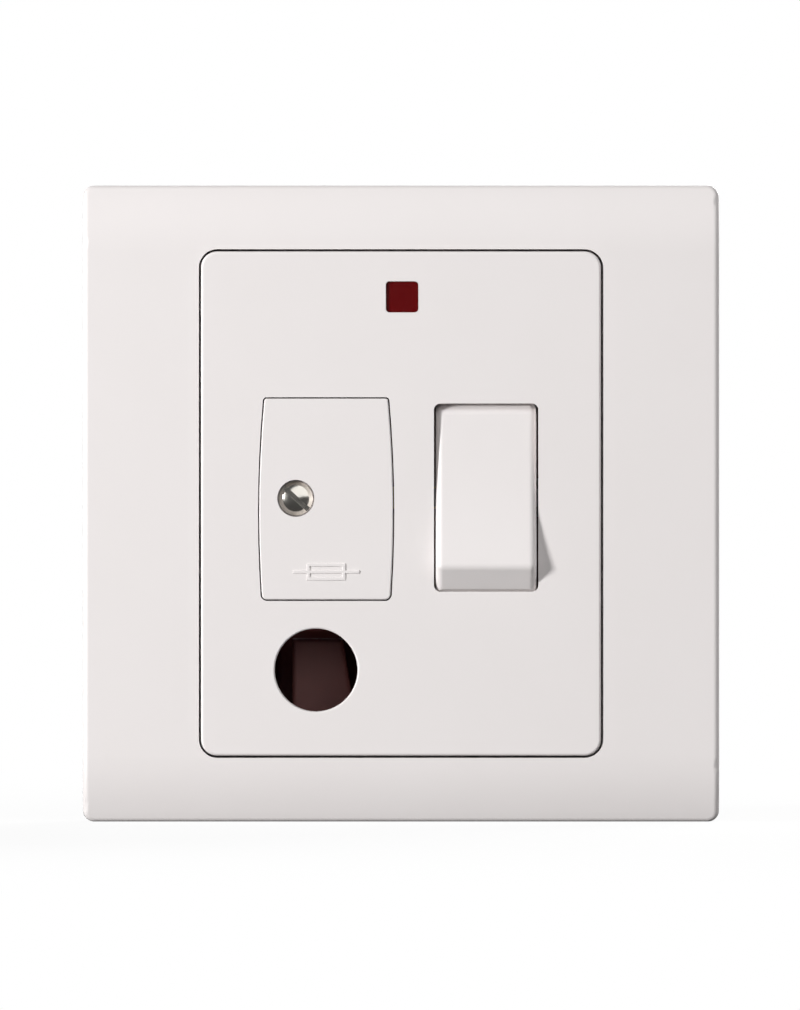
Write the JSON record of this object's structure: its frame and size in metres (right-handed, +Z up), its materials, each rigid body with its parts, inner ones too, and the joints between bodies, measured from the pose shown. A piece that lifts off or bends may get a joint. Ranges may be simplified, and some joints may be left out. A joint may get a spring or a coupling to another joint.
{
  "type": "switched fused spur unit",
  "caption": "Square wall plate with a red indicator, a rocker switch, a screw-retained fuse carrier and a front cord outlet, on a rear housing with terminals.",
  "frame": {"origin": "centre of the plate's back, on the wall plane", "axes": "+X to the right seen from the room, +Z up, +Y into the wall"},
  "size_m": [0.086, 0.0358, 0.086],
  "materials": {
    "white_moulding": "smooth urea moulding with a soft gloss",
    "brown_moulding": "dark brown phenolic moulding",
    "red_lens": "transparent dark red lens",
    "lamp_glass": "clear glass",
    "tinned_wire": "tinned copper wire",
    "resistor_body": "lacquered carbon resistor",
    "brass": "plain brass, turned and stamped",
    "silver": "silver contact tips",
    "spring_steel": "spring wire",
    "plated_steel": "nickel-plated steel screws",
    "fuse_ceramic": "white ceramic tube",
    "nickel_caps": "nickel-plated caps",
    "fibre_washer": "red fibre washer"
  },
  "bodies": {
    "root": {"front_panel": "white_moulding", "rear_housing": "brown_moulding", "neon_lens": "red_lens", "neon_lamp": "lamp_glass", "neon_leads": "tinned_wire", "neon_resistor": "resistor_body", "live_fixed_contact": "brass", "neutral_fixed_contact": "brass", "fixed_silver_tips": "silver", "live_fulcrum": "brass", "neutral_fulcrum": "brass", "fuse_contact_supply": "brass", "fuse_contact_load": "brass", "earth_strap": "brass", "screw_insert": "brass", "assembly_screws": "plated_steel", "live_supply_terminal": "brass", "neutral_supply_terminal": "brass", "live_load_terminal": "brass", "earth_left_terminal": "brass", "earth_right_terminal": "brass", "neutral_load_terminal": "brass"},
    "front_frame": {"front_frame": "white_moulding"},
    "rocker": {"rocker": "white_moulding", "live_plunger_spring": "spring_steel", "neutral_plunger_spring": "spring_steel"},
    "live_plunger": {"live_plunger": "brown_moulding"},
    "neutral_plunger": {"neutral_plunger": "brown_moulding"},
    "live_contact": {"live_rocking_contact": "brass", "live_moving_silver_tip": "silver"},
    "neutral_contact": {"neutral_rocking_contact": "brass", "neutral_moving_silver_tip": "silver"},
    "fuse_carrier": {"fuse_carrier": "white_moulding", "fuse_body": "fuse_ceramic", "fuse_caps": "nickel_caps"},
    "captive_washer": {"captive_washer": "fibre_washer"},
    "carrier_screw": {"carrier_screw": "plated_steel"},
    "cord_clamp": {"cord_clamp_bar": "brown_moulding", "cord_clamp_screws": "plated_steel"},
    "live_supply_screw": {"live_supply_screw": "brass"},
    "neutral_supply_screw": {"neutral_supply_screw": "brass"},
    "live_load_screw": {"live_load_screw": "brass"},
    "earth_left_screw": {"earth_left_screw": "brass"},
    "earth_right_screw": {"earth_right_screw": "brass"},
    "neutral_load_screw": {"neutral_load_screw": "brass"}
  },
  "joints": [
    {"name": "frame_unclip", "type": "slide", "parent": "root", "child": "front_frame", "axis": [0, -1, 0], "range_m": [0, 0.012]},
    {"name": "rocker_tilt", "type": "hinge", "parent": "root", "child": "rocker", "pos_m": [0.0115, -0.0014, 0.0008], "axis": [1, 0, 0], "range_deg": [0, 16]},
    {"name": "live_contact_rock", "type": "hinge", "parent": "root", "child": "live_contact", "pos_m": [0.0083, 0.0085, 0.0008], "axis": [1, 0, 0], "range_deg": [-28, 0]},
    {"name": "live_plunger_slide", "type": "slide", "parent": "rocker", "child": "live_plunger", "axis": [0, -0.9903, 0.1392], "range_m": [0, 0.0008], "stiffness_N_per_m": 250, "deforming": ["live_plunger_spring"]},
    {"name": "neutral_contact_rock", "type": "hinge", "parent": "root", "child": "neutral_contact", "pos_m": [0.0147, 0.0085, 0.0008], "axis": [1, 0, 0], "range_deg": [-28, 0]},
    {"name": "neutral_plunger_slide", "type": "slide", "parent": "rocker", "child": "neutral_plunger", "axis": [0, -0.9903, 0.1392], "range_m": [0, 0.0008], "stiffness_N_per_m": 250, "deforming": ["neutral_plunger_spring"]},
    {"name": "carrier_pull", "type": "slide", "parent": "root", "child": "fuse_carrier", "axis": [0, -1, 0], "range_m": [0, 0.018]},
    {"name": "carrier_screw_rise", "type": "slide", "parent": "fuse_carrier", "child": "captive_washer", "axis": [0, -1, 0], "range_m": [0, 0.00275]},
    {"name": "carrier_screw_turn", "type": "hinge", "parent": "captive_washer", "child": "carrier_screw", "pos_m": [-0.0142, 0, 0.0007], "axis": [0, -1, 0], "range_deg": [0, 1980]},
    {"name": "cord_clamp_lift", "type": "slide", "parent": "root", "child": "cord_clamp", "axis": [0, 1, 0], "range_m": [0, 0.004]},
    {"name": "live_supply_screw_drive", "type": "slide", "parent": "root", "child": "live_supply_screw", "axis": [0, -1, 0], "range_m": [0, 0.0034]},
    {"name": "neutral_supply_screw_drive", "type": "slide", "parent": "root", "child": "neutral_supply_screw", "axis": [0, -1, 0], "range_m": [0, 0.0034]},
    {"name": "live_load_screw_drive", "type": "slide", "parent": "root", "child": "live_load_screw", "axis": [0, -1, 0], "range_m": [0, 0.0034]},
    {"name": "earth_left_screw_drive", "type": "slide", "parent": "root", "child": "earth_left_screw", "axis": [0, -1, 0], "range_m": [0, 0.0034]},
    {"name": "earth_right_screw_drive", "type": "slide", "parent": "root", "child": "earth_right_screw", "axis": [0, -1, 0], "range_m": [0, 0.0034]},
    {"name": "neutral_load_screw_drive", "type": "slide", "parent": "root", "child": "neutral_load_screw", "axis": [0, -1, 0], "range_m": [0, 0.0034]}
  ],
  "couplings": [
    {"joint": "live_contact_rock", "follows": "rocker_tilt", "ratio": -1.75},
    {"joint": "neutral_contact_rock", "follows": "rocker_tilt", "ratio": -1.75},
    {"joint": "carrier_screw_turn", "follows": "carrier_screw_rise", "rad_per_m": 12566}
  ]
}
